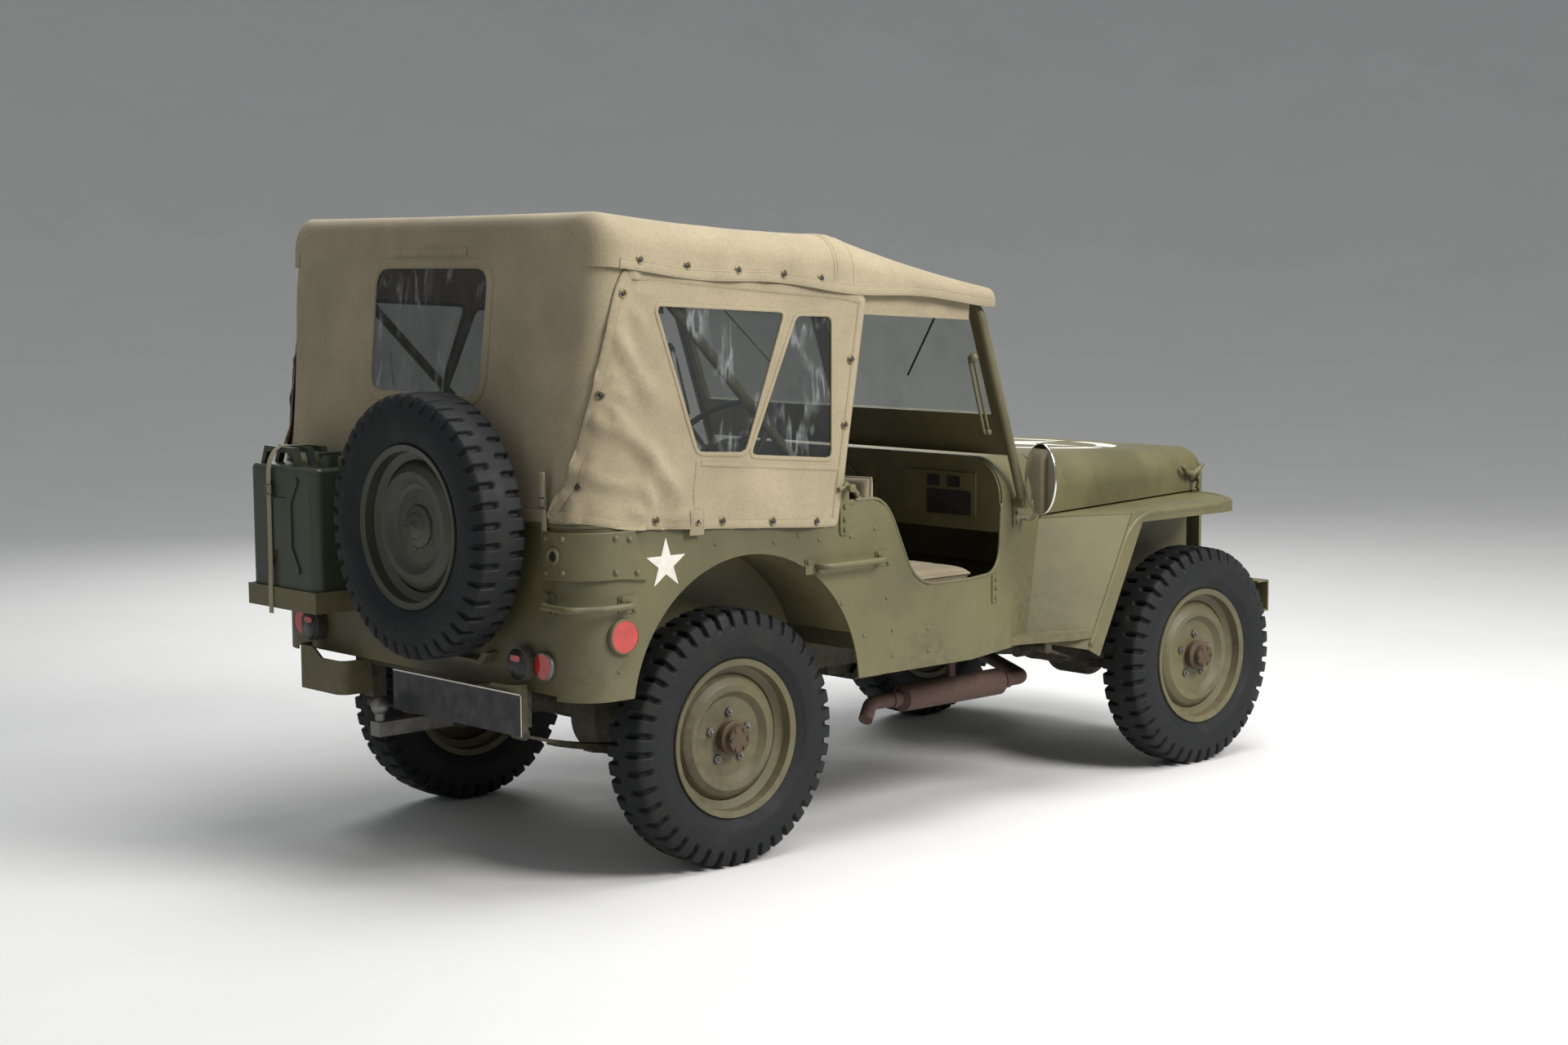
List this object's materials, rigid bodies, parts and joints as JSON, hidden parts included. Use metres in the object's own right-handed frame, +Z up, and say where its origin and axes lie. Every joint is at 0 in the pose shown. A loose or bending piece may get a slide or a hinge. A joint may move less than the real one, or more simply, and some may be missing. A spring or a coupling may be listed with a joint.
{
  "type": "military utility car",
  "caption": "Small open four-wheel-drive military utility car with its canvas top and side curtains up, spare wheel and fuel can on the tail, steerable wheels and lifting hood.",
  "frame": {"origin": "middle of the overall length and width, on the ground", "axes": "+X forward, +Y to the driver's left, +Z up"},
  "size_m": [3.302, 1.6558, 1.79],
  "materials": {
    "paint_olive": "satin olive-drab paint",
    "paint_dark": "dull dark olive paint",
    "canvas_tan": "woven cotton duck",
    "clear_sheet": "flexible clear sheet",
    "screen_glass": "flat glass",
    "lamp_glass": "lamp glass",
    "lamp_red": "moulded red lens",
    "can_green": "dark green paint",
    "exhaust_brown": "rusted steel",
    "mirror_bright": "silvered glass with bright rim",
    "rubber": "moulded rubber"
  },
  "bodies": {
    "chassis": {"side_left": "paint_olive", "side_right": "paint_olive", "rear_panel": "paint_olive", "wheel_boxes": "paint_olive", "cowl": "paint_olive", "dashboard": "paint_olive", "grille": "paint_olive", "fenders": "paint_olive", "windscreen_frame": "paint_olive", "front_bumper": "paint_olive", "bumperettes": "paint_olive", "floor": "paint_olive", "grab_handles": "paint_olive", "spare_carrier": "paint_olive", "can_rack": "paint_olive", "seat_frames": "paint_olive", "frame": "paint_dark", "front_axle": "paint_dark", "rear_axle": "paint_dark", "leaf_springs": "paint_dark", "dampers": "paint_dark", "propshafts": "paint_dark", "power_unit": "paint_dark", "radiator": "paint_dark", "steering_column": "paint_dark", "controls": "paint_dark", "tow_ball": "paint_dark", "spare_wheel": "paint_dark", "top_bows": "paint_dark", "canvas_top": "canvas_tan", "rear_curtain": "canvas_tan", "side_curtains": "canvas_tan", "seat_cushions": "canvas_tan", "curtain_windows": "clear_sheet", "windscreen_glass": "screen_glass", "headlamps": "lamp_glass", "rear_lamps": "lamp_red", "jerry_can": "can_green", "exhaust": "exhaust_brown", "mirrors": "mirror_bright", "spare_tyre": "rubber"},
    "hood": {"hood": "paint_olive"},
    "steering_wheel": {"steering_wheel": "paint_dark"},
    "knuckle_left": {"knuckle_left": "paint_dark"},
    "knuckle_right": {"knuckle_right": "paint_dark"},
    "tie_rod": {"tie_rod": "paint_dark"},
    "wheel_front_left": {"tyre_front_left": "rubber", "wheel_front_left": "paint_olive"},
    "wheel_front_right": {"tyre_front_right": "rubber", "wheel_front_right": "paint_olive"},
    "wheel_rear_left": {"tyre_rear_left": "rubber", "wheel_rear_left": "paint_olive"},
    "wheel_rear_right": {"tyre_rear_right": "rubber", "wheel_rear_right": "paint_olive"}
  },
  "joints": [
    {"name": "hood_lift", "type": "hinge", "parent": "chassis", "child": "hood", "pos_m": [0.438, 0, 1.072], "axis": [0, -1, 0], "range_deg": [0, 105]},
    {"name": "steer_left", "type": "hinge", "parent": "chassis", "child": "knuckle_left", "pos_m": [1.153, 0.54, 0.356], "axis": [0, 0, 1], "range_deg": [-24, 24]},
    {"name": "steer_right", "type": "hinge", "parent": "chassis", "child": "knuckle_right", "pos_m": [1.153, -0.54, 0.356], "axis": [0, 0, 1], "range_deg": [-24, 24]},
    {"name": "tie_rod_slide", "type": "slide", "parent": "chassis", "child": "tie_rod", "axis": [0, 1, 0], "range_m": [-0.07, 0.07]},
    {"name": "steering_turn", "type": "hinge", "parent": "chassis", "child": "steering_wheel", "pos_m": [-0.049, 0.39, 1.035], "axis": [-0.7071, 0, 0.7071], "range_deg": [-340, 340]},
    {"name": "roll_front_left", "type": "hinge", "parent": "knuckle_left", "child": "wheel_front_left", "pos_m": [1.153, 0.613, 0.356], "axis": [0, 1, 0], "continuous": true},
    {"name": "roll_front_right", "type": "hinge", "parent": "knuckle_right", "child": "wheel_front_right", "pos_m": [1.153, -0.613, 0.356], "axis": [0, 1, 0], "continuous": true},
    {"name": "roll_rear_left", "type": "hinge", "parent": "chassis", "child": "wheel_rear_left", "pos_m": [-0.879, 0.613, 0.356], "axis": [0, 1, 0], "continuous": true},
    {"name": "roll_rear_right", "type": "hinge", "parent": "chassis", "child": "wheel_rear_right", "pos_m": [-0.879, -0.613, 0.356], "axis": [0, 1, 0], "continuous": true}
  ],
  "couplings": [
    {"joint": "steer_right", "follows": "steer_left", "ratio": 1},
    {"joint": "tie_rod_slide", "follows": "steer_left", "m_per_rad": 0.165},
    {"joint": "steering_turn", "follows": "steer_left", "ratio": 14}
  ]
}
